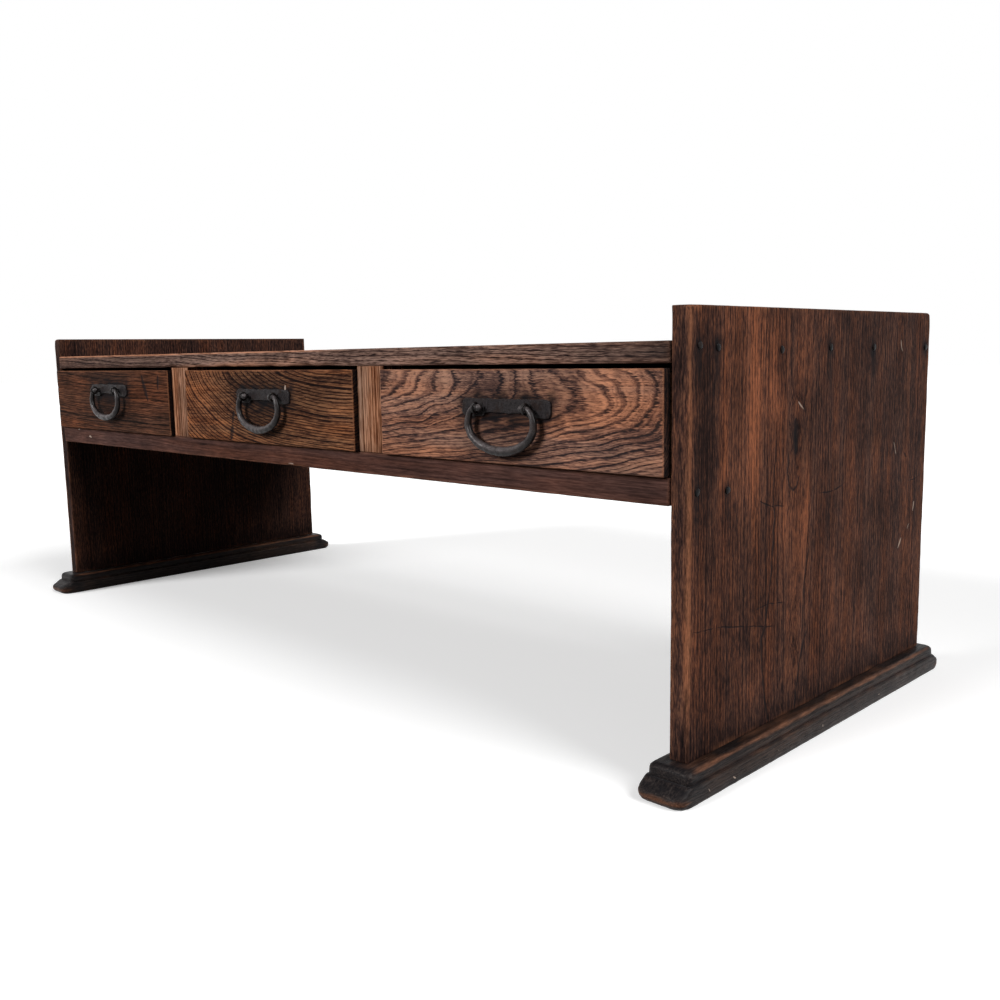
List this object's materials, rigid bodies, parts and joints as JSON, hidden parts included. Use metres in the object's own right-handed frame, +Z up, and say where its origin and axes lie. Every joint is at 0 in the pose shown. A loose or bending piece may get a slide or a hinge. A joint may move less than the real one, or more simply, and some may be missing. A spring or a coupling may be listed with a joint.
{
  "type": "calligraphy table",
  "caption": "Low wooden writing table for use on the floor: side panels on sledge feet, a top board between them and a row of drawers with iron bail handles under it.",
  "frame": {"origin": "on the floor, under the middle of the table's box", "axes": "+X to the table's right along its length, seen from the front; the drawers open towards -Y; +Z up"},
  "size_m": [1.025, 0.439, 0.338],
  "materials": {
    "panel_elm": "dark lacquered elm with worn arrises",
    "top_elm": "dark lacquered elm, rubbed at its front edge",
    "rail_elm": "plain dark reddish brown lacquered elm",
    "post_elm": "paler straight-grained elm under thin lacquer",
    "drawer_elm": "figured elm under brown lacquer",
    "foot_elm": "nearly black elm, worn at its noses",
    "inner_softwood": "bare planed softwood",
    "wrought_iron": "hand-forged iron, blackened, with a dull sheen"
  },
  "bodies": {
    "carcass": {"top_board": "top_elm", "front_rail": "rail_elm", "back_board": "inner_softwood", "left_foot": "foot_elm", "left_side_panel": "panel_elm", "left_post": "post_elm", "left_partition": "inner_softwood", "left_middle_runner": "inner_softwood", "left_end_runner": "inner_softwood", "left_top_nail_1": "wrought_iron", "left_top_nail_2": "wrought_iron", "left_top_nail_3": "wrought_iron", "left_top_nail_4": "wrought_iron", "left_top_nail_5": "wrought_iron", "left_top_nail_6": "wrought_iron", "left_rail_nail_1": "wrought_iron", "left_rail_nail_2": "wrought_iron", "right_foot": "foot_elm", "right_side_panel": "panel_elm", "right_post": "post_elm", "right_partition": "inner_softwood", "right_middle_runner": "inner_softwood", "right_end_runner": "inner_softwood", "right_top_nail_1": "wrought_iron", "right_top_nail_2": "wrought_iron", "right_top_nail_3": "wrought_iron", "right_top_nail_4": "wrought_iron", "right_top_nail_5": "wrought_iron", "right_top_nail_6": "wrought_iron", "right_rail_nail_1": "wrought_iron", "right_rail_nail_2": "wrought_iron"},
    "left_drawer": {"left_drawer_front": "drawer_elm", "left_drawer_left_side": "inner_softwood", "left_drawer_right_side": "inner_softwood", "left_drawer_back": "inner_softwood", "left_drawer_bottom": "inner_softwood", "left_drawer_handle_plate": "wrought_iron", "left_drawer_left_eye": "wrought_iron", "left_drawer_right_eye": "wrought_iron"},
    "left_bail": {"left_drawer_bail": "wrought_iron"},
    "middle_drawer": {"middle_drawer_front": "drawer_elm", "middle_drawer_left_side": "inner_softwood", "middle_drawer_right_side": "inner_softwood", "middle_drawer_back": "inner_softwood", "middle_drawer_bottom": "inner_softwood", "middle_drawer_handle_plate": "wrought_iron", "middle_drawer_left_eye": "wrought_iron", "middle_drawer_right_eye": "wrought_iron"},
    "middle_bail": {"middle_drawer_bail": "wrought_iron"},
    "right_drawer": {"right_drawer_front": "drawer_elm", "right_drawer_left_side": "inner_softwood", "right_drawer_right_side": "inner_softwood", "right_drawer_back": "inner_softwood", "right_drawer_bottom": "inner_softwood", "right_drawer_handle_plate": "wrought_iron", "right_drawer_left_eye": "wrought_iron", "right_drawer_right_eye": "wrought_iron"},
    "right_bail": {"right_drawer_bail": "wrought_iron"}
  },
  "joints": [
    {"name": "left_drawer_slide", "type": "slide", "parent": "carcass", "child": "left_drawer", "axis": [0, -1, 0], "range_m": [0, 0.26]},
    {"name": "left_bail_swing", "type": "hinge", "parent": "left_drawer", "child": "left_bail", "pos_m": [-0.3318, -0.2076, 0.27325], "axis": [-1, 0, 0], "range_deg": [-5, 170]},
    {"name": "middle_drawer_slide", "type": "slide", "parent": "carcass", "child": "middle_drawer", "axis": [0, -1, 0], "range_m": [0, 0.26]},
    {"name": "middle_bail_swing", "type": "hinge", "parent": "middle_drawer", "child": "middle_bail", "pos_m": [0.005, -0.2076, 0.27095], "axis": [-1, 0, 0], "range_deg": [-5, 170]},
    {"name": "right_drawer_slide", "type": "slide", "parent": "carcass", "child": "right_drawer", "axis": [0, -1, 0], "range_m": [0, 0.26]},
    {"name": "right_bail_swing", "type": "hinge", "parent": "right_drawer", "child": "right_bail", "pos_m": [0.3383, -0.2076, 0.26725], "axis": [-1, 0, 0], "range_deg": [-5, 170]}
  ]
}
